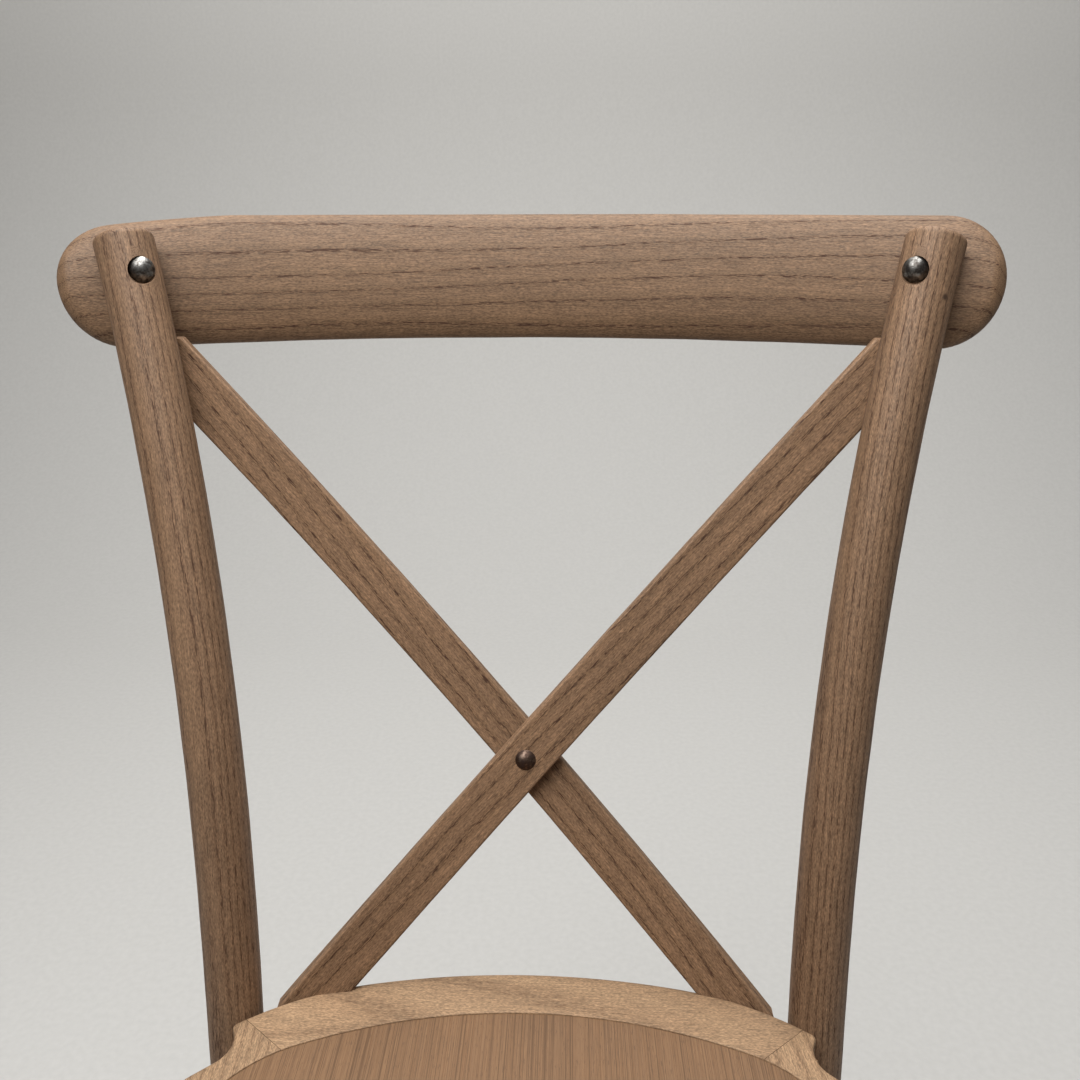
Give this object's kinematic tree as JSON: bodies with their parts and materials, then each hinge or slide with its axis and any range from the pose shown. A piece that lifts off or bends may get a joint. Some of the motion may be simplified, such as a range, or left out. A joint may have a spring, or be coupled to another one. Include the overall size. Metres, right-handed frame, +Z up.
{
  "type": "cross back chair",
  "caption": "Cross back dining chair with a bowed crest rail, round bent posts, crossed flat slats and a framed seat panel on bentwood braces.",
  "frame": {"origin": "on the floor, under the middle of the chair's overall box", "axes": "+Z up, -Y to the front of the chair where the sitter's knees are, +X to the right seen from the front"},
  "size_m": [0.5012, 0.56, 0.8832],
  "materials": {
    "elm_frame": "matte weathered oil on ring porous wood",
    "beech_dowel": "raw beech",
    "plywood_core": "raw plywood",
    "seat_veneer": "matte oiled veneer",
    "antique_rivet": "antique pewter plating",
    "zinc_steel": "zinc plated",
    "nylon_glide": "moulded nylon"
  },
  "bodies": {
    "root": {"crest_rail": "elm_frame", "back_post_left": "elm_frame", "back_post_right": "elm_frame", "cross_slat_front": "elm_frame", "cross_slat_rear": "elm_frame", "seat_rim_rear": "elm_frame", "seat_rim_front": "elm_frame", "seat_rim_left": "elm_frame", "seat_rim_right": "elm_frame", "front_leg_left": "elm_frame", "front_leg_right": "elm_frame", "brace_front": "elm_frame", "brace_rear": "elm_frame", "brace_left": "elm_frame", "brace_right": "elm_frame", "rim_dowels": "beech_dowel", "seat_panel_core": "plywood_core", "seat_panel_veneer": "seat_veneer", "crest_rivets": "antique_rivet", "crest_rivet_washers": "antique_rivet", "cross_rivet": "antique_rivet", "cross_rivet_washer": "antique_rivet", "post_lag_screws": "zinc_steel", "post_lag_washers": "zinc_steel", "slat_top_screws": "zinc_steel", "slat_foot_screws": "zinc_steel", "brace_leg_screws": "zinc_steel", "brace_seat_screws": "zinc_steel", "panel_screws": "zinc_steel", "foot_glides": "nylon_glide", "glide_nails": "zinc_steel"}
  },
  "joints": []
}
